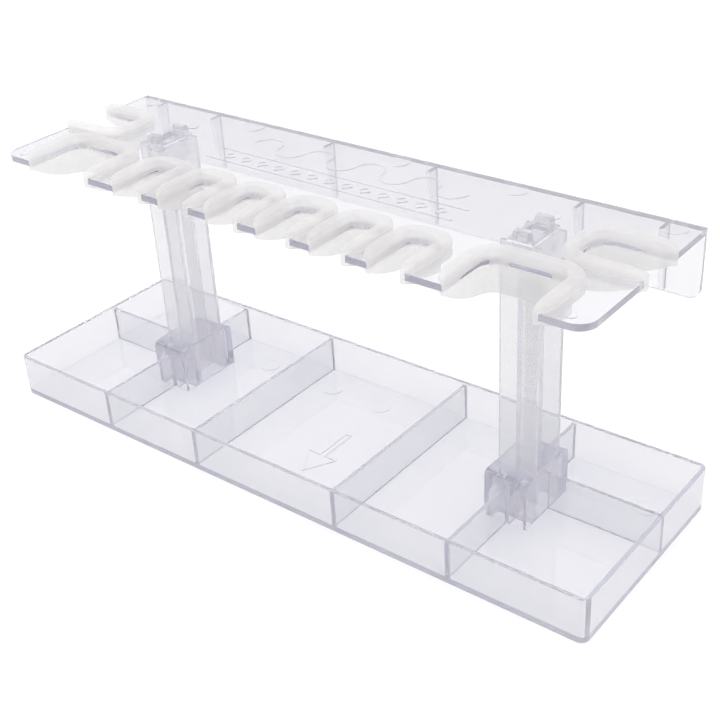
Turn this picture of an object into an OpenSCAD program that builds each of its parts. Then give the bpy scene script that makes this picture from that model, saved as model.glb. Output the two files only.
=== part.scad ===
// Bench stand for airbrushes: a divided tray carries two posts, and the posts carry a slotted shelf.
// Soft U-shaped liners sit on the edges of the shelf's slots, and an airbrush hangs in each liner.
// The origin is under the middle of the tray, +X runs along the stand, and -Y is the front.

/* [Tray] */
// Outside length of the tray
tray_l = 340; // [338:1:360]
// Outside depth of the tray, front to back
tray_d = 108; // [106:1:120]
// Outside height of the tray walls
tray_h = 22; // [18:1:24]
// Thickness of the tray's outer walls
tray_wall = 2; // [1.6:0.1:2.6]
// Thickness of the dividers between compartments
divider_t = 1.8; // [1.4:0.1:2.4]
// Thickness of the tray floor
floor_t = 2; // [1.6:0.1:2.6]
// How far the divider tops lie below the rim
divider_drop = 1; // [0.4:0.1:2]
// Distance of each inner divider from the middle
inner_divider_x = 42.7; // [38:0.1:48]
// Radius of the tray's outside vertical corners
tray_corner_r = 4; // [2.8:0.1:6]

/* [Post sockets] */
// Outside width of a post socket
socket_w = 21.4; // [21:0.1:24]
// Height of a post socket's top above the bench
socket_top = 26; // [24:1:30]
// Distance of a socket's front face ahead of the post's centre
socket_front = 20; // [18:0.5:21]
// Distance of a socket's back face behind the post's centre
socket_back = 16; // [13:0.5:18]

/* [Posts] */
// Distance of each post, socket and outer divider from the middle
post_x = 104; // [102:0.5:106]
// Distance of the post centres behind the middle of the tray
post_y = 12; // [10:0.5:13]
// Width of a post's flanges, side to side
post_w = 18.6; // [18:0.1:18.8]
// Depth of a post over its flanges, front to back
post_d = 21; // [20.6:0.1:21.4]
// Thickness of a post's flanges
post_flange_t = 2; // [1.6:0.1:2.4]
// Thickness of a post's web
post_web_t = 2.2; // [1.8:0.1:2.8]
// Width of the hollow tenon that passes through the shelf
tenon_w = 12; // [11:0.1:13]
// Height of the snap hooks above the shelf
hook_h = 4; // [3:0.1:5]

/* [Shelf] */
// Length of the shelf
shelf_l = 320; // [318:1:324]
// Distance of the shelf's front edge ahead of the middle
shelf_front = 44.8; // [44:0.1:46]
// Distance of the shelf's back face behind the middle
shelf_back = 51.5; // [50:0.1:53]
// Height of the shelf's top face above the bench
shelf_top = 135.4; // [120:0.1:150]
// Thickness of the shelf plate
shelf_t = 3; // [2.6:0.1:3.4]
// Thickness of the flange that hangs from the shelf's back edge
flange_t = 2; // [1.6:0.1:3]
// Height of the back flange over all
flange_h = 32; // [24:1:40]
// Radius of the shelf's front corners
shelf_corner_r = 8; // [5:0.5:10]

/* [Slots] */
// Width of a narrow slot cut in the shelf
narrow_w = 18; // [17:0.1:18.4]
// Depth of a narrow slot
narrow_d = 28.5; // [26:0.5:30]
// Spacing of the narrow slots
narrow_pitch = 29; // [28.6:0.1:29]
// Width of a wide front slot
wide_w = 41.2; // [40:0.1:41.4]
// Depth of a wide front slot
wide_d = 31; // [28:0.5:32]
// Distance of each wide slot from the middle
wide_x = 119.6; // [119.4:0.1:120]
// Width of a side slot
side_w = 26; // [25:0.5:26]
// Depth of a side slot
side_d = 33; // [30:0.5:34]
// Distance of the side slots behind the middle of the tray
side_y = 10.5; // [10:0.5:11]

/* [Liners] */
// Thickness of a liner's inner wall
liner_wall = 1.5; // [1.3:0.1:2]
// How far a liner's lips reach over the shelf
lip_reach = 4.6; // [3.5:0.1:4.8]
// Thickness of a liner's upper lip
lip_top_t = 4; // [3:0.1:5]
// Thickness of a liner's lower lip
lip_low_t = 1.4; // [1.2:0.1:2]
// How far a liner's arms stand out past the shelf's edge
liner_proud = 1.2; // [0.6:0.1:1.4]
// Clearance between a liner and the shelf
liner_gap = 0.2; // [0.15:0.05:0.3]

/* [Hidden] */
$fn = 64;

clear_plastic = [0.86, 0.86, 0.92, 0.45];
milky_rubber = [0.93, 0.92, 0.88];
sides = [-1, 1];
over = 1;                                  // extra length of a cutter past the face that it cuts

inner_l = tray_l - 2 * tray_wall;
inner_d = tray_d - 2 * tray_wall;
pocket_r = tray_corner_r - tray_wall;
divider_top = tray_h - divider_drop;
post_gap = 0.2;                            // clearance round a post in its socket
shelf_under = shelf_top - shelf_t;
socket_top_r = 3;                          // radius of a socket's upper front and back edges
arch_w = 7.6;                              // arched hollows behind a socket's front face
arch_h = 21;
arch_rise = 9;
arch_depth = 6.1;
arch_skin = 1.6;
arch_gap = 0.6;
hook_w = 7;
hook_d = 4.6;
hook_lip = 0.9;
hook_lip_h = 1.4;
hook_rest = 0.05;                          // play between the hooks and the shelf's top face
tenon_gap = 0.2;
tenon_d = post_d - 0.6;
tenon_hole_w = 8;
tenon_hole_d = 11;
tenon_below = 9;                           // how far the tenon runs down between the flanges
tenon_proud = 0.6;
fin_xs = [30, 105, 144];
fin_t = 2;
fin_depth = 6.5;
shelf_back_r = 1.5;                        // radius of the shelf plate's back corners
flange_corner_r = 5;
fin_foot = 3;                              // depth of a fin at its lower end
root = 0.5;                                // how far a fin runs into what carries it

mark_h = 0.25;                             // height of the round ejector marks
tray_mark_xs = [-74, -30, 1.5, 151];
tray_mark_y = 36;
tray_mark_r = 5.2;
shelf_mark_xs = [-150, -76, 13, 76, 150];
shelf_mark_y = 44;
shelf_mark_r = 5.4;
post_mark = [103.5, 29, 2.7];              // x, y and radius of a small mark behind each post
corner_mark = [150.5, -39.6, 2.4];         // x, y and radius of a small mark in each front corner

emboss_h = 0.35;
arrow_at = [3.7, -10];
arrow_shaft = 1.1;                         // half the width of the arrow's shaft
arrow_head = 7.6;                          // half the width of its head
arrow_back = 16.5;
arrow_neck = -4;
arrow_tip = -17.5;
arrow_line = 0.8;
rule_w = 0.7;
rule_l = 140;
rule_ys = [3.6, 15.4];
lozenge_count = 13;
lozenge_pitch = 10;
lozenge_side = 4.6;
lozenge_hole = 3.2;
ripple_count = 8;
ripple_r = 8;
ripple_y = 29;

narrow_corner_r = 6;
wide_corner_r = 8;
side_corner_r = 9;
narrow_keel = 12;                          // how far a liner's skirt reaches below the shelf's top
wide_keel = 15;
side_keel = 13.5;
skirt_start = shelf_t + liner_gap + lip_low_t;   // depth of the lower lip's underside
keel_steps = 18;
narrow_count = 6;
narrow_window = [16, 5, 1.2];              // where an arm's slit starts, the back slit's length, height
wide_window = [8, 19, 2.8];
side_window = [11, 8, 2.4];

function narrow_x(i) = (i - (narrow_count - 1) / 2) * narrow_pitch;

// Flat rectangle with round corners, centred on the origin
module round_rect(w, d, r) {
    square([w - 2 * r, d], center = true);
    square([w, d - 2 * r], center = true);
    for (sx = sides, sy = sides)
        translate([sx * (w / 2 - r), sy * (d / 2 - r)])
            circle(r);
}

// Upright block with round corners between two corners of a plan
module round_block(x0, x1, y0, y1, h, r) {
    translate([(x0 + x1) / 2, (y0 + y1) / 2, 0])
        linear_extrude(h)
            round_rect(x1 - x0, y1 - y0, r);
}

// ---- Tray ----

// The open spaces between the dividers, each as [x0, x1, y0, y1]
half_t = divider_t / 2;
outer_x = inner_l / 2;
outer_y = inner_d / 2;
pockets = [
    [-outer_x, -post_x - half_t, -outer_y, post_y - half_t],
    [-outer_x, -post_x - half_t, post_y + half_t, outer_y],
    [-post_x + half_t, -inner_divider_x - half_t, -outer_y, outer_y],
    [-inner_divider_x + half_t, inner_divider_x - half_t, -outer_y, outer_y],
    [inner_divider_x + half_t, post_x - half_t, -outer_y, outer_y],
    [post_x + half_t, outer_x, -outer_y, post_y - half_t],
    [post_x + half_t, outer_x, post_y + half_t, outer_y]];

// Pointed hollow behind a socket's front face on one side of the divider, open underneath, which
// keeps the moulding thin and shows through the face as an arch
module socket_arch() {
    reach = arch_rise * arch_rise / arch_w;
    rotate([90, 0, 0])
        linear_extrude(arch_depth)
            union() {
                translate([-arch_w / 2, -over])
                    square([arch_w, arch_h - arch_rise + over]);
                translate([0, arch_h - arch_rise])
                    intersection_for (s = sides)
                        translate([s * (reach - arch_w / 4), 0])
                            circle(reach + arch_w / 4);
            }
}

// Solid of one socket, before its post hole and arches are cut
module socket_block() {
    translate([-socket_w / 2, -socket_front, 0])
        rotate([90, 0, 90])
            linear_extrude(socket_w)
                translate([(socket_front + socket_back) / 2, socket_top / 2])
                    round_rect_top(socket_front + socket_back, socket_top, socket_top_r);
}

// Rectangle whose two upper corners are round
module round_rect_top(w, h, r) {
    translate([0, -r / 2])
        square([w, h - r], center = true);
    translate([0, h / 2 - r / 2])
        square([w - 2 * r, r], center = true);
    for (s = sides)
        translate([s * (w / 2 - r), h / 2 - r])
            circle(r);
}

module socket_cuts() {
    hole_w = post_w + 2 * post_gap;
    hole_d = post_d + 2 * post_gap;
    translate([-hole_w / 2, -hole_d / 2, floor_t])
        cube([hole_w, hole_d, socket_top]);
    for (s = sides)
        translate([s * (half_t + arch_w / 2 + arch_gap), arch_skin + arch_depth - socket_front, 0])
            socket_arch();
}

module ejector_mark(x, y, z, r) {
    translate([x, y, z - over])
        cylinder(h = over + mark_h, r = r);
}

// Plan of an arrow that points to the front, grown all round
module arrow_plan(grow) {
    shaft = arrow_shaft + grow;
    head = arrow_head + 2 * grow;
    polygon([[-shaft, arrow_back + grow], [shaft, arrow_back + grow], [shaft, arrow_neck + grow],
        [head, arrow_neck + grow], [0, arrow_tip - 2 * grow], [-head, arrow_neck + grow],
        [-shaft, arrow_neck + grow]]);
}

// Outline of that arrow, raised on the floor of the middle compartment
module arrow() {
    translate([arrow_at[0], arrow_at[1], floor_t - over])
        linear_extrude(over + emboss_h)
            difference() {
                arrow_plan(arrow_line);
                arrow_plan(0);
            }
}

module tray() color(clear_plastic) difference() {
    union() {
        difference() {
            round_block(-tray_l / 2, tray_l / 2, -tray_d / 2, tray_d / 2, tray_h, tray_corner_r);
            for (p = pockets)
                translate([0, 0, floor_t])
                    round_block(p[0], p[1], p[2], p[3], tray_h, pocket_r / 2);
            translate([0, 0, divider_top])
                round_block(-outer_x, outer_x, -outer_y, outer_y, tray_h, pocket_r);
        }
        for (s = sides)
            translate([s * post_x, post_y, 0])
                socket_block();
        for (x = tray_mark_xs)
            ejector_mark(x, tray_mark_y, floor_t, tray_mark_r);
        arrow();
    }
    for (s = sides)
        translate([s * post_x, post_y, 0])
            socket_cuts();
}

// ---- Posts ----

// Snap hook at the front of a tenon: its lip lies over the shelf's top face
module snap_hook() {
    translate([hook_w / 2, 0, 0])
        rotate([90, 0, -90])
            linear_extrude(hook_w)
                polygon([[-hook_d, -over], [-hook_lip, -over], [-hook_lip, 0], [0, 0], [0, hook_lip_h],
                    [-hook_lip, hook_h], [-hook_d, hook_h]]);
}

module post() color(clear_plastic) {
    flange_y = post_d / 2 - post_flange_t;
    cap_z = shelf_under - tenon_below;
    post_h = shelf_under - floor_t;
    difference() {
        union() {
            for (s = sides)
                translate([-post_w / 2, s * (post_d - post_flange_t) / 2 - post_flange_t / 2, floor_t])
                    cube([post_w, post_flange_t, post_h]);
            translate([-post_web_t / 2, -flange_y - over / 2, floor_t])
                cube([post_web_t, 2 * flange_y + over, post_h]);
            translate([-tenon_w / 2, -tenon_d / 2, cap_z])
                cube([tenon_w, tenon_d, shelf_top + tenon_proud - cap_z]);
            for (a = [0, 180])
                rotate([0, 0, a])
                    translate([0, -post_d / 2 - hook_lip / 2, shelf_top + hook_rest])
                        snap_hook();
        }
        translate([-tenon_hole_w / 2, -tenon_hole_d / 2, cap_z])
            cube([tenon_hole_w, tenon_hole_d, hook_h + shelf_top]);
    }
}

// ---- Shelf ----

// Plan of one slot with its mouth at y = 0, running back along +Y
module slot_plan(w, d, r) {
    translate([-w / 2, 0])
        square([w, d - r]);
    translate([r - w / 2, 0])
        square([w - 2 * r, d]);
    for (s = sides)
        translate([s * (w / 2 - r), d - r])
            circle(r);
}

module slot_cutter(w, d, r) {
    translate([0, 0, shelf_under - over])
        linear_extrude(shelf_t + 2 * over)
            union() {
                slot_plan(w, d, r);
                translate([-w / 2, -2 * over])
                    square([w, 3 * over]);
            }
}

module at_slot(kind, i) {
    if (kind == "narrow")
        translate([narrow_x(i), -shelf_front, 0])
            children();
    if (kind == "wide")
        translate([sides[i] * wide_x, -shelf_front, 0])
            children();
    if (kind == "side")
        translate([sides[i] * shelf_l / 2, side_y, 0])
            rotate([0, 0, sides[i] * 90])
                children();
}

module shelf_plate() {
    mid_y = (shelf_back - shelf_front) / 2;
    difference() {
        translate([0, 0, shelf_under])
            union() {
                round_block(-shelf_l / 2, shelf_l / 2, -shelf_front, mid_y + shelf_corner_r, shelf_t,
                    shelf_corner_r);
                round_block(-shelf_l / 2, shelf_l / 2, mid_y - shelf_corner_r, shelf_back, shelf_t,
                    shelf_back_r);
            }
        for (i = [0:narrow_count - 1])
            at_slot("narrow", i)
                slot_cutter(narrow_w, narrow_d, narrow_corner_r);
        for (i = [0, 1]) {
            at_slot("wide", i)
                slot_cutter(wide_w, wide_d, wide_corner_r);
            at_slot("side", i)
                slot_cutter(side_w, side_d, side_corner_r);
        }
        for (s = sides)
            translate([s * post_x - tenon_w / 2 - tenon_gap, post_y - tenon_d / 2 - tenon_gap,
                shelf_under - over])
                cube([tenon_w + 2 * tenon_gap, tenon_d + 2 * tenon_gap, shelf_t + 2 * over]);
    }
}

// Flange that hangs from the back edge, with its two lower corners round
module back_flange() {
    translate([0, shelf_back, shelf_top - flange_h])
        rotate([90, 0, 0])
            linear_extrude(flange_t)
                rotate([0, 0, 180])
                    translate([0, -flange_h / 2])
                        round_rect_top(shelf_l, flange_h, flange_corner_r);
}

// Thin gussets in the corner between the plate and the flange
module fins() {
    fin_h = flange_h - shelf_t - 1;
    for (s = sides, x = fin_xs)
        translate([s * x + fin_t / 2, shelf_back - flange_t + root, shelf_under + root])
            rotate([0, 90, 180])
                linear_extrude(fin_t)
                    polygon([[0, 0], [0, fin_depth + root], [fin_h, fin_foot], [fin_h, 0]]);
}

// Raised border lines, a row of plain lozenges between them and a rippled line behind
module ornament() {
    row_y = (rule_ys[0] + rule_ys[1] + rule_w) / 2;
    translate([0, 0, shelf_top - over])
        linear_extrude(over + emboss_h) {
            for (y = rule_ys)
                translate([-rule_l / 2, y])
                    square([rule_l, rule_w]);
            for (i = [0:lozenge_count - 1])
                translate([(i - (lozenge_count - 1) / 2) * lozenge_pitch, row_y])
                    rotate(45)
                        difference() {
                            square(lozenge_side, center = true);
                            square(lozenge_hole, center = true);
                        }
            for (i = [0:ripple_count - 1])
                translate([(i - (ripple_count - 1) / 2) * (2 * ripple_r - rule_w), ripple_y])
                    intersection() {
                        difference() {
                            circle(ripple_r);
                            circle(ripple_r - rule_w);
                        }
                        translate([-ripple_r, i % 2 == 0 ? 0 : -ripple_r])
                            square([2 * ripple_r, ripple_r]);
                    }
        }
}

module shelf() color(clear_plastic) union() {
    shelf_plate();
    back_flange();
    fins();
    ornament();
    for (x = shelf_mark_xs)
        ejector_mark(x, shelf_mark_y, shelf_top, shelf_mark_r);
    for (s = sides, mark = [post_mark, corner_mark])
        ejector_mark(s * mark[0], mark[1], shelf_top, mark[2]);
}

// ---- Liners ----

// Band that follows a slot: everything within grow outside the slot less the opening inside it.
// It starts at y = mouth, so a negative mouth carries the two arms out past the shelf's edge.
module liner_band(w, d, r, grow, mouth) {
    difference() {
        union() {
            slot_plan(w + 2 * grow, d + grow, r + grow);
            translate([-w / 2 - grow, mouth])
                square([w + 2 * grow, over - mouth]);
        }
        slot_plan(w - 2 * liner_wall, d - liner_wall, r - liner_wall);
        translate([liner_wall - w / 2, mouth - over])
            square([w - 2 * liner_wall, 2 * over - mouth]);
    }
}

// Side view of a liner's inner wall: flat on top, and curved below like a parabola, so that the
// skirt is as shallow as the lower lip at the mouth and reaches keel below the shelf's top at the back
module keel_profile(d, keel) {
    top = lip_top_t + liner_gap;
    polygon(concat([[d + over, top], [-liner_proud, top], [-liner_proud, -skirt_start]],
        [for (i = [0:keel_steps])
            let (u = 1 - i / keel_steps)
                [d * (1 - u), -skirt_start - (keel - skirt_start) * (1 - u * u)]],
        [[d + over, -keel]]));
}

// One liner with its mouth at y = 0. keel is the depth of the skirt below the shelf's top.
module liner(w, d, r, keel, window) color(milky_rubber) {
    difference() {
        union() {
            translate([0, 0, shelf_top + liner_gap])
                linear_extrude(lip_top_t)
                    liner_band(w, d, r, lip_reach, 0);
            translate([0, 0, shelf_under - liner_gap - lip_low_t])
                linear_extrude(lip_low_t)
                    liner_band(w, d, r, lip_reach, 0);
            intersection() {
                translate([0, 0, shelf_top - keel - over])
                    linear_extrude(keel + lip_top_t + 2 * over)
                        liner_band(w, d, r, -liner_gap, -liner_proud);
                translate([-w, 0, shelf_top])
                    rotate([90, 0, 90])
                        linear_extrude(2 * w)
                            keel_profile(d, keel);
            }
        }
        liner_windows(w, d, r, window);
    }
}

// Slits through the inner wall at the height of the shelf: one in each arm and one at the back
module liner_windows(w, d, r, window) {
    z0 = shelf_under + (shelf_t - window[2]) / 2;
    for (s = sides)
        translate([s * w / 2 - liner_wall - over, window[0], z0])
            cube([2 * (liner_wall + over), d - r / 2 - window[0], window[2]]);
    translate([-window[1] / 2, d - liner_wall - over, z0])
        cube([window[1], 2 * (liner_wall + over), window[2]]);
}

module liner_narrow(i) {
    at_slot("narrow", i)
        liner(narrow_w, narrow_d, narrow_corner_r, narrow_keel, narrow_window);
}

module liner_wide(i) {
    at_slot("wide", i)
        liner(wide_w, wide_d, wide_corner_r, wide_keel, wide_window);
}

module liner_side(i) {
    at_slot("side", i)
        liner(side_w, side_d, side_corner_r, side_keel, side_window);
}

tray();
shelf();
translate([-post_x, post_y, 0]) post();  // post_left
translate([post_x, post_y, 0]) post();  // post_right
liner_wide(0);  // liner_wide_left
liner_wide(1);  // liner_wide_right
liner_side(0);  // liner_side_left
liner_side(1);  // liner_side_right
liner_narrow(0);  // liner_narrow_1
liner_narrow(1);  // liner_narrow_2
liner_narrow(2);  // liner_narrow_3
liner_narrow(3);  // liner_narrow_4
liner_narrow(4);  // liner_narrow_5
liner_narrow(5);  // liner_narrow_6
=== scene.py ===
"""Looks of a clear bench stand for airbrushes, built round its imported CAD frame. Lengths are in metres,
apart from those in the section on liners, which are in millimetres until a liner is placed."""

import math

import bmesh
import bpy
from mathutils import Matrix, Vector


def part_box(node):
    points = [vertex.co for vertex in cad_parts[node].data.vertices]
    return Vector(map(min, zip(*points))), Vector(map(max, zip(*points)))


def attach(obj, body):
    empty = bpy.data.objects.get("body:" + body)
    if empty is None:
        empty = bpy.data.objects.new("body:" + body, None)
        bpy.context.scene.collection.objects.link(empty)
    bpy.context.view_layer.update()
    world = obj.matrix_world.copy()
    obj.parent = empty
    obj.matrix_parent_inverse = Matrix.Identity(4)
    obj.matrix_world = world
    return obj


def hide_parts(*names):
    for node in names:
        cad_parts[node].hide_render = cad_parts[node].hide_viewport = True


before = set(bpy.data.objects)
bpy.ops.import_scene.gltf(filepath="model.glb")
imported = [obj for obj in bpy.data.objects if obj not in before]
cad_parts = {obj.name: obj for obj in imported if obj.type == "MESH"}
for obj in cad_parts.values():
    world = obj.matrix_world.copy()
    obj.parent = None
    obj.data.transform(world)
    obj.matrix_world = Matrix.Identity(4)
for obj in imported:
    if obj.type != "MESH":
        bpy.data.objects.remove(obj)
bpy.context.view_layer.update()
MM = 0.001
scene = bpy.context.scene

# ---------------------------------------------------------------- camera

CAMERA_AT = (0.33818, -0.38208, 0.35121)
YAW = math.radians(-39.816)
PITCH = math.radians(-30.834)
ROLL = math.radians(-3.527)
LENS = 62.435

forward = Vector((math.sin(YAW) * math.cos(PITCH), math.cos(YAW) * math.cos(PITCH), math.sin(PITCH)))
level = forward.cross(Vector((0, 0, 1))).normalized()
upright = level.cross(forward)
right = math.cos(ROLL) * level + math.sin(ROLL) * upright
up = math.cos(ROLL) * upright - math.sin(ROLL) * level

camera_data = bpy.data.cameras.new("camera")
camera_data.lens = LENS
camera_data.sensor_width = 36
camera_data.clip_start = 0.01
camera_data.clip_end = 30
camera = bpy.data.objects.new("camera", camera_data)
camera.matrix_world = Matrix.Translation(CAMERA_AT) @ Matrix((right, up, -forward)).transposed().to_4x4()
scene.collection.objects.link(camera)
scene.camera = camera

# ---------------------------------------------------------------- node helpers


class Tree:
    """The node tree of a material or of the world, with short ways to add nodes and wire them."""

    def __init__(self, owner, output):
        owner.use_nodes = True
        self.owner = owner
        self.tree = owner.node_tree
        self.tree.nodes.clear()
        self.out = self.add(output)
        self.coordinates = self.add("ShaderNodeTexCoord").outputs

    def add(self, kind, inputs=None, **settings):
        """A new node. inputs maps an input's name or number to a value or to another node's output."""
        made = self.tree.nodes.new(kind)
        for name, value in settings.items():
            setattr(made, name, value)
        for socket, value in (inputs or {}).items():
            if isinstance(value, bpy.types.NodeSocket):
                self.tree.links.new(value, made.inputs[socket])
            else:
                made.inputs[socket].default_value = value
        return made

    def give(self, socket, value):
        """Wire a node's output to the tree's own output."""
        self.tree.links.new(value, self.out.inputs[socket])

    def noise(self, scale, detail, roughness, stretch=(1, 1, 1), distortion=0.0):
        scaled = self.add("ShaderNodeMapping", {"Vector": self.coordinates["Object"], "Scale": stretch})
        inputs = {
            "Vector": scaled.outputs["Vector"],
            "Scale": scale,
            "Detail": detail,
            "Roughness": roughness,
            "Distortion": distortion,
        }
        return self.add("ShaderNodeTexNoise", inputs).outputs["Fac"]

    def spread(self, value, low, high, to_low, to_high):
        inputs = {"Value": value, "From Min": low, "From Max": high, "To Min": to_low, "To Max": to_high}
        return self.add("ShaderNodeMapRange", inputs).outputs["Result"]

    def math(self, operation, a, b):
        return self.add("ShaderNodeMath", {0: a, 1: b}, operation=operation).outputs[0]

    def ramp(self, value, low, low_colour, high, high_colour):
        made = self.add("ShaderNodeValToRGB", {"Fac": value})
        for element, at, colour in zip(made.color_ramp.elements, (low, high), (low_colour, high_colour)):
            element.position = at
            element.color = (*colour, 1)
        return made.outputs["Color"]

    def bump(self, height, distance, onto=None):
        inputs = {"Height": height, "Distance": distance, "Strength": 1.0}
        if onto is not None:
            inputs["Normal"] = onto
        return self.add("ShaderNodeBump", inputs).outputs["Normal"]

    def mix(self, share, first, second):
        """A blend of two shaders: the first where share is 0, the second where it is 1."""
        return self.add("ShaderNodeMixShader", {"Fac": share, 1: first, 2: second}).outputs["Shader"]


def material_tree(name):
    return Tree(bpy.data.materials.new(name), "ShaderNodeOutputMaterial")


def grey(value, blue=0.0):
    """A grey with a little more blue, as three numbers."""
    return (value, value, value + blue)


# ---------------------------------------------------------------- materials

# Heights above the bench at which the rubber's painted shade is darkest and at which it is gone, and at
# which the rubber is clearest and cloudiest
SKIRT_SHADE_HEIGHT = 0.125
LIP_LIT_HEIGHT = 0.137
SKIRT_CLEAR = 0.129
LIP_CLOUDED = 0.1325


def clear_plastic(name, density, veil, pale):
    """Moulded crystal plastic: a faint pale veil, violet in its depth, a slow waviness, hairline
    scratches. It lets lamps and light from around straight through, so that what stands behind is lit."""
    t = material_tree(name)
    flow = t.noise(30, 4.0, 0.6, stretch=(1, 7, 7), distortion=0.4)
    tint = t.ramp(flow, 0.25, grey(pale, 0.008), 0.75, grey(pale + 0.03, 0.006))
    hairs_along = t.noise(420, 2.0, 0.5, stretch=(1, 14, 6))
    hairs_across = t.noise(380, 2.0, 0.5, stretch=(13, 1, 6))
    scratch = t.spread(t.math("MAXIMUM", hairs_along, hairs_across), 0.66, 0.74, 0.0, 1.0)
    rough = t.math("ADD", t.spread(flow, 0.3, 0.7, 0.03, 0.06), t.math("MULTIPLY", scratch, 0.1))
    wave = t.noise(42, 2.0, 0.4)
    plastic = t.add("ShaderNodeBsdfPrincipled", {
        "Base Color": tint,
        "Roughness": rough,
        "Normal": t.bump(wave, 0.04 * MM),
        "Transmission Weight": 1.0 - veil,
        "IOR": 1.5,
    })
    straight_through = t.add("ShaderNodeBsdfTransparent", {"Color": (0.98, 0.98, 0.985, 1)})
    ray = t.add("ShaderNodeLightPath").outputs
    lets_through = t.math("MAXIMUM", ray["Is Shadow Ray"], ray["Is Diffuse Ray"])
    t.give("Surface", t.mix(lets_through, plastic.outputs["BSDF"], straight_through.outputs["BSDF"]))
    depth = t.add("ShaderNodeVolumeAbsorption", {"Color": (0.3, 0.28, 0.5, 1), "Density": density})
    t.give("Volume", depth.outputs["Volume"])
    return t.owner


def milky_rubber(name):
    """Soft milky rubber, half see-through: cloudy warm white with a satin grain. Painted shade darkens the
    skirts under the shelf below the lips, and the skirts are also clearer than the lips."""
    t = material_tree(name)
    cloud = t.noise(110, 3.0, 0.5)
    grain = t.noise(2600, 2.0, 0.5)
    slow = t.noise(90, 2.0, 0.5)
    relief = t.bump(grain, 0.02 * MM, onto=t.bump(slow, 0.3 * MM))
    height = t.add("ShaderNodeSeparateXYZ", {"Vector": t.coordinates["Object"]}).outputs["Z"]
    white = t.ramp(cloud, 0.3, (0.865, 0.85, 0.835), 0.7, (0.9, 0.888, 0.875))
    # painted shade: the rubber's colour darkens from the lips down to the skirts under the shelf
    shade = t.spread(height, SKIRT_SHADE_HEIGHT, LIP_LIT_HEIGHT, 0.84, 1.0)
    tint = t.add("ShaderNodeVectorMath", {0: white, "Scale": shade}, operation="SCALE").outputs["Vector"]
    skin = t.add("ShaderNodeBsdfPrincipled", {
        "Base Color": tint,
        "Roughness": t.spread(cloud, 0.3, 0.7, 0.34, 0.46),
        "Normal": relief,
        "IOR": 1.42,
    })
    glow = t.add("ShaderNodeBsdfTranslucent", {"Color": tint, "Normal": relief})
    body = t.mix(0.5, skin.outputs["BSDF"], glow.outputs["BSDF"])
    see_through = t.spread(height, SKIRT_CLEAR, LIP_CLOUDED, 0.62, 0.54)
    patchy = t.spread(cloud, 0.3, 0.7, 1.03, 0.97)
    behind = t.add("ShaderNodeBsdfTransparent").outputs["BSDF"]
    t.give("Surface", t.mix(t.math("MULTIPLY", see_through, patchy), body, behind))
    return t.owner


def paper(name):
    """The matt white paper that the stand is shown on."""
    t = material_tree(name)
    fibre = t.noise(900, 3.0, 0.6)
    sheet = t.add("ShaderNodeBsdfPrincipled", {
        "Base Color": t.ramp(fibre, 0.3, grey(0.93), 0.7, grey(0.95)),
        "Roughness": 0.9,
        "Specular IOR Level": 0.1,
    })
    t.give("Surface", sheet.outputs["BSDF"])
    return t.owner


CLEAR = clear_plastic("clear_plastic", density=23, veil=0.12, pale=0.885)
HAZY = clear_plastic("hazy_plastic", density=16, veil=0.24, pale=0.83)
RUBBER = milky_rubber("milky_rubber")

# ---------------------------------------------------------------- clear mouldings

EDGE = 0.12 * MM  # width of a softened edge
WELD = 0.002 * MM  # points nearer than this are one
LOW_WALL = 0.6 * MM  # a wall lower than this is a raised mark's or a border's
WALL_LEAN = 0.2  # a face whose normal rises less than this is a wall
CORNER = math.radians(35)  # an edge that turns more than this is a corner


def is_low_wall(face):
    heights = [vert.co.z for vert in face.verts]
    return abs(face.normal.z) < WALL_LEAN and max(heights) - min(heights) < LOW_WALL


def refined(node, body, material):
    """A copy of a CAD node's closed shell with its sharp edges softened as a mould leaves them.
    The low walls of raised marks and borders keep their edges."""
    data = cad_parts[node].data.copy()
    data.name = node + "_moulding"
    bm = bmesh.new()
    bm.from_mesh(data)
    bmesh.ops.remove_doubles(bm, verts=bm.verts, dist=WELD)
    low_walls = {face for face in bm.faces if is_low_wall(face)}
    weight = bm.edges.layers.float.new("bevel_weight_edge")
    for face in bm.faces:
        face.smooth = True
    for edge in bm.edges:
        corner = len(edge.link_faces) == 2 and edge.calc_face_angle() > CORNER
        rounded = corner and not any(face in low_walls for face in edge.link_faces)
        edge[weight] = 1.0 if rounded else 0.0
        edge.smooth = rounded or not corner
    bm.to_mesh(data)
    bm.free()
    data.materials.clear()
    data.materials.append(material)
    if "custom_normal" in data.attributes:
        data.attributes.remove(data.attributes["custom_normal"])
    piece = bpy.data.objects.new(node + "_moulding", data)
    scene.collection.objects.link(piece)
    bevel = piece.modifiers.new("edge", "BEVEL")
    bevel.width = EDGE
    bevel.segments = 2
    bevel.limit_method = "WEIGHT"
    bevel.use_clamp_overlap = False
    facing = piece.modifiers.new("facing", "WEIGHTED_NORMAL")
    facing.mode = "FACE_AREA"
    facing.weight = 100
    facing.keep_sharp = True
    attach(piece, body)
    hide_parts(node)


refined("tray", "base", CLEAR)
refined("shelf", "upper", CLEAR)
refined("post_left", "upper", HAZY)
refined("post_right", "upper", HAZY)

# ---------------------------------------------------------------- soft liners, in millimetres

# The shelf, and how a liner grips it
SHELF_T = 3.0
LINER_WALL = 1.5
LINER_GAP = 0.2
LIP_LOW_T = 1.4
SKIRT_START = SHELF_T + LINER_GAP + LIP_LOW_T
LOW_LIP_R = 0.7
LOW_LIP_LEAST_R = 0.05
LOW_LIP_STEP = 0.01  # how far the skirt stands in from the lower lip's inner end
LEAST_SKIRT = 0.02  # how far the skirt shows under the lower lip at the least

# The upper lip, which grows from the mouth over a distance of LIP_EASE to its full reach and thickness
LIP_REACH = 4.6
LIP_REACH_END = 1.0
LIP_TOP_T = 4.0
LIP_TOP_END = 2.8
LIP_EASE = 11.0
BEAD_R = 1.6
EDGE_R = 0.9  # radius of the upper lip's other edges
BEAD_LESS = 0.2  # the bead's radius is at least this much under half of the lip's width

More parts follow.
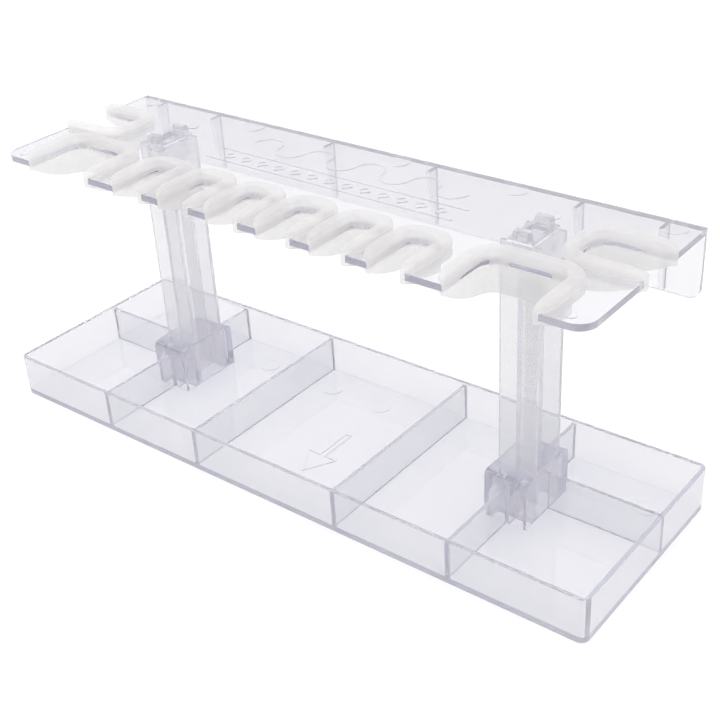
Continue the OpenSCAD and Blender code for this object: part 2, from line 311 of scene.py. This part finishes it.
# The tips of the arms, which stand out past the shelf's edge and shrink
PROUD = 1.2
TIP_WIDTH = 0.55
TIP_HEIGHT = 0.8
TIP_MIDDLE = -0.6  # the height that the section shrinks towards

# The slits in the inner wall, which run along the middle of the shelf's thickness
ARM_SLIT_OPENS = 6.0  # distance over which an arm's slit opens at its start
SLIT_OPENS = 1.5  # the same at its end and at both ends of the back slit
ARM_SLIT_END = 0.55  # share of the corner that an arm's slit runs round
LEAST_OPEN = 0.35  # share of its height that a slit has where it starts

# How finely a liner is swept
STEP = 0.9
CORNER_STEPS = 10
TIP_STEPS = 5
SMOOTH_BELOW = math.radians(50)  # an edge that turns less than this is shaded smooth


def arc(centre, rx, ry, start, end, steps):
    """Points of an elliptical arc in a section, angles in degrees, both ends included."""
    angles = [math.radians(start + (end - start) * i / steps) for i in range(steps + 1)]
    return [(centre[0] + rx * math.cos(a), centre[1] + ry * math.sin(a)) for a in angles]


def liner_section(keel, reach, thick, window):
    """Section of a liner: first number outwards from the slot's edge, second up from the shelf's top.
    window is half the slit's height. Returns the points and the numbers of the slit's four corners."""
    inner, outer = -LINER_GAP - LINER_WALL, -LINER_GAP
    middle, half = (inner + outer) / 2, LINER_WALL / 2
    top = LINER_GAP + thick
    under = -SHELF_T - LINER_GAP
    slit_z = -SHELF_T / 2
    bead = min(BEAD_R, (reach - inner) / 2 - BEAD_LESS)
    low = min(LOW_LIP_R, max(LOW_LIP_LEAST_R, (reach - outer) / 2))
    rise_out = min(half, keel - SKIRT_START)
    points = arc((middle, -keel + half), half, half, 270, 180, 4)
    slit_in = len(points)
    points += [(inner, slit_z - window), (inner, slit_z + window)]
    points += arc((inner + EDGE_R, top - EDGE_R), EDGE_R, EDGE_R, 180, 90, 4)
    points += arc((reach - bead, top - bead), bead, bead, 90, 0, 6)
    points += arc((reach - EDGE_R, LINER_GAP + EDGE_R), EDGE_R, EDGE_R, 0, -90, 3)
    points += [(outer, LINER_GAP)]
    slit_out = len(points)
    points += [(outer, slit_z + window), (outer, slit_z - window), (outer, under)]
    points += arc((reach - low, under - low), low, low, 90, -90, 5)
    points += [(outer + LOW_LIP_STEP, -SKIRT_START)]
    points += arc((middle, -keel + rise_out), half, rise_out, 0, -90, 4)[:-1]
    return points, (slit_in, slit_in + 1, slit_out, slit_out + 1)


def straight(start, end, outward):
    """Evenly spaced points from start, without end, each with its outward direction."""
    count = max(2, round(math.dist(start, end) / STEP))
    shares = [i / count for i in range(count)]
    run_x, run_y = end[0] - start[0], end[1] - start[1]
    return [((start[0] + run_x * share, start[1] + run_y * share), outward) for share in shares]


def corner_turn(centre, r, start):
    """Points of a clockwise quarter turn without its end, each with its outward direction."""
    angles = [math.radians(start - 90 * i / CORNER_STEPS) for i in range(CORNER_STEPS)]
    outwards = [(math.cos(a), math.sin(a)) for a in angles]
    return [((centre[0] + r * x, centre[1] + r * y), (x, y)) for x, y in outwards]


def arm_tip(point, outward):
    """Stations that close an arm, from the shelf's edge out to the tip."""
    leans = [math.radians(90 * i / TIP_STEPS) for i in range(1, TIP_STEPS + 1)]
    return [((point[0], -PROUD * math.sin(lean)), outward, math.cos(lean)) for lean in leans]


def stations(w, d, r):
    """Places along a slot from the left arm's tip round to the right one's, each with its outward
    direction and how full the section is there: 1 along the slot, falling to 0 at the tips."""
    arm = d - r
    path = straight((-w / 2, 0), (-w / 2, arm), (-1.0, 0.0))
    path += corner_turn((r - w / 2, arm), r, 180)
    path += straight((r - w / 2, d), (w / 2 - r, d), (0.0, 1.0))
    path += corner_turn((w / 2 - r, arm), r, 90)
    path += straight((w / 2, arm), (w / 2, 0), (1.0, 0.0))
    path += [((w / 2, 0), (1.0, 0.0))]
    edge = [(point, outward, 1.0) for point, outward in path]
    return arm_tip(*path[0])[::-1] + edge + arm_tip(*path[-1])


def slit_share(run, w, d, r, arm_slit, back_slit):
    """How far a slit stands open at a distance along the slot's edge: 0 where there is none."""
    turned = d - r + r * math.pi / 2
    whole = 2 * turned + w - 2 * r
    if turned < run < whole - turned:
        low, high, opens = turned + back_slit[0], turned + back_slit[1], SLIT_OPENS
    else:
        low, high, opens = arm_slit, d - r + ARM_SLIT_END * r * math.pi / 2, ARM_SLIT_OPENS
        run = min(run, whole - run)
    if not low < run < high:
        return 0.0
    return min(1.0, math.sqrt((run - low) / opens), math.sqrt((high - run) / SLIT_OPENS))


def shrunk(point, full):
    """A point of a section, drawn in as the section shrinks at an arm's tip. What lies outside the slot's
    edge shrinks to nothing."""
    middle = -LINER_GAP - LINER_WALL / 2
    width = TIP_WIDTH + (1 - TIP_WIDTH) * full
    if point[0] >= 0:
        width *= full
    height = TIP_HEIGHT + (1 - TIP_HEIGHT) * full
    return (middle + (point[0] - middle) * width, TIP_MIDDLE + (point[1] - TIP_MIDDLE) * height)


def liner_ring(point, outward, full, d, keel, window):
    """A section of a liner set at its station. Returns its points and the numbers of the slit's corners."""
    inwards = max(point[1], 0)
    depth = SKIRT_START + (keel - SKIRT_START) * (1 - ((d - inwards) / d) ** 2)
    ease = math.sqrt(1 - (1 - min(1.0, inwards / LIP_EASE)) ** 2)
    reach = LIP_REACH_END + (LIP_REACH - LIP_REACH_END) * ease
    thick = LIP_TOP_END + (LIP_TOP_T - LIP_TOP_END) * ease
    section, corners = liner_section(max(depth, SKIRT_START + LEAST_SKIRT), reach, thick, window)
    if full < 1.0:
        section = [shrunk(p, full) for p in section]
    ring = [Vector((point[0] + outward[0] * out, point[1] + outward[1] * out, z)) for out, z in section]
    return ring, corners


def liner_faces(opened, count, corners):
    """Faces that join the rings of a liner, count points to a ring. opened tells of each gap between
    two rings whether the slit runs through it."""
    in_low, in_high, out_high, out_low = corners
    faces = []
    for i, is_open in enumerate(opened):
        p, q = i * count, (i + 1) * count
        for j in range(count):
            k = (j + 1) % count
            if not (is_open and j in (in_low, out_high)):
                faces.append((p + j, p + k, q + k, q + j))
        if is_open:
            faces.append((p + in_high, p + out_high, q + out_high, q + in_high))
            faces.append((p + out_low, p + in_low, q + in_low, q + out_low))
    for i, (before, after) in enumerate(zip([False] + opened, opened + [False])):
        if before != after:
            p = i * count
            faces.append((p + in_low, p + in_high, p + out_high, p + out_low))
    faces.append(tuple(range(count)))
    faces.append(tuple(len(opened) * count + j for j in reversed(range(count))))
    return faces


def slot_of(node, degrees):
    """Width and depth of the slot that a liner sits in, which are the liner's box less its lips, and the
    matrix that carries the slot's mouth from the origin to its place. degrees turns it from the front."""
    turn = Matrix.Rotation(math.radians(degrees), 4, "Z")
    corners = [turn.inverted() @ (Vector(corner) / MM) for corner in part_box(node)]
    x_low, x_high = sorted(corner.x for corner in corners)
    y_low, y_high = sorted(corner.y for corner in corners)
    shelf_top = max(corner.z for corner in corners) - LIP_TOP_T - LINER_GAP
    mouth = Matrix.Translation(((x_low + x_high) / 2, y_low + PROUD, shelf_top))
    return x_high - x_low - 2 * LIP_REACH, y_high - y_low - LIP_REACH - PROUD, turn @ mouth


def liner(name, degrees, r, keel, arm_slit, back_slit, slit_h):
    """The U-shaped liner that stands for a CAD node, swept round its slot."""
    w, d, place = slot_of(name, degrees)
    rings, shares = [], []
    run, last = 0.0, None
    for point, outward, full in stations(w, d, r):
        share = 0.0
        if full == 1.0:
            run += math.dist(last or point, point)
            last = point
            share = slit_share(run, w, d, r, arm_slit, back_slit)
        ring, corners = liner_ring(point, outward, full, d, keel, max(LEAST_OPEN, share) * slit_h / 2)
        rings.append(ring)
        shares.append(share)
    opened = [a > 0 and b > 0 for a, b in zip(shares, shares[1:])]
    data = bpy.data.meshes.new(name + "_soft")
    verts = [(place @ point) * MM for ring in rings for point in ring]
    data.from_pydata(verts, [], liner_faces(opened, len(rings[0]), corners))
    bm = bmesh.new()
    bm.from_mesh(data)
    bmesh.ops.recalc_face_normals(bm, faces=bm.faces)
    bmesh.ops.triangulate(bm, faces=[face for face in bm.faces if len(face.verts) > 4])
    bm.to_mesh(data)
    bm.free()
    data.materials.append(RUBBER)
    data.shade_smooth()
    data.set_sharp_from_angle(angle=SMOOTH_BELOW)
    piece = bpy.data.objects.new(name + "_soft", data)
    scene.collection.objects.link(piece)
    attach(piece, name)
    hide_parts(name)


# For each kind of liner: the radius of its slot's corners, how far its skirt reaches below the shelf's top
# at the back, how far from the mouth an arm's slit starts, how far from the corner the back slit starts
# and ends, and the height of the slits
WIDE = dict(r=8, keel=15, arm_slit=8, back_slit=(1.0, 22.0), slit_h=2.8)
SIDE = dict(r=9, keel=13.5, arm_slit=11, back_slit=(0.3, 7.7), slit_h=2.4)
NARROW = dict(r=6, keel=12, arm_slit=16, back_slit=(0.5, 5.5), slit_h=1.2)

liner("liner_wide_left", 0, **WIDE)
liner("liner_wide_right", 0, **WIDE)
liner("liner_side_left", -90, **SIDE)
liner("liner_side_right", 90, **SIDE)
for number in range(1, 7):
    liner(f"liner_narrow_{number}", 0, **NARROW)

# ---------------------------------------------------------------- floor, light and air

FLOOR_HALF = 6.0
FLOOR_Z = -0.0004
FLOOR_CORNERS = [(-1, -1), (1, -1), (1, 1), (-1, 1)]

floor_data = bpy.data.meshes.new("floor")
floor_verts = [(x * FLOOR_HALF, y * FLOOR_HALF, FLOOR_Z) for x, y in FLOOR_CORNERS]
floor_data.from_pydata(floor_verts, [], [(0, 1, 2, 3)])
floor_data.materials.append(paper("floor_paper"))
floor = bpy.data.objects.new("floor", floor_data)
scene.collection.objects.link(floor)

scene.world = bpy.data.worlds.new("studio")
sky = Tree(scene.world, "ShaderNodeOutputWorld")
sky_height = sky.add("ShaderNodeSeparateXYZ", {"Vector": sky.coordinates["Generated"]}).outputs["Z"]
sky_colour = sky.ramp(sky_height, 0.0, grey(0.72, 0.04), 0.7, grey(1.0))
sky.give("Surface", sky.add("ShaderNodeBackground", {"Color": sky_colour}).outputs["Background"])


def lamp(name, where, towards, size, power):
    """A rectangular lamp that faces a point."""
    data = bpy.data.lights.new(name, "AREA")
    data.shape = "RECTANGLE"
    data.size, data.size_y = size
    data.energy = power
    made = bpy.data.objects.new(name, data)
    made.location = where
    made.rotation_mode = "QUATERNION"
    made.rotation_quaternion = (Vector(towards) - Vector(where)).to_track_quat("-Z", "Y")
    scene.collection.objects.link(made)


lamp("key", (-0.9, -0.5, 1.3), (0, 0, 0.05), (1.0, 1.0), 5)
lamp("top", (0.2, 0.5, 1.5), (0, 0, 0.05), (1.2, 0.8), 4)

scene.view_settings.view_transform = "Standard"

# Light has to pass many walls of clear plastic
cycles = scene.cycles
cycles.max_bounces = 24
cycles.transmission_bounces = 24
cycles.diffuse_bounces = 10
cycles.glossy_bounces = 12
cycles.transparent_max_bounces = 24
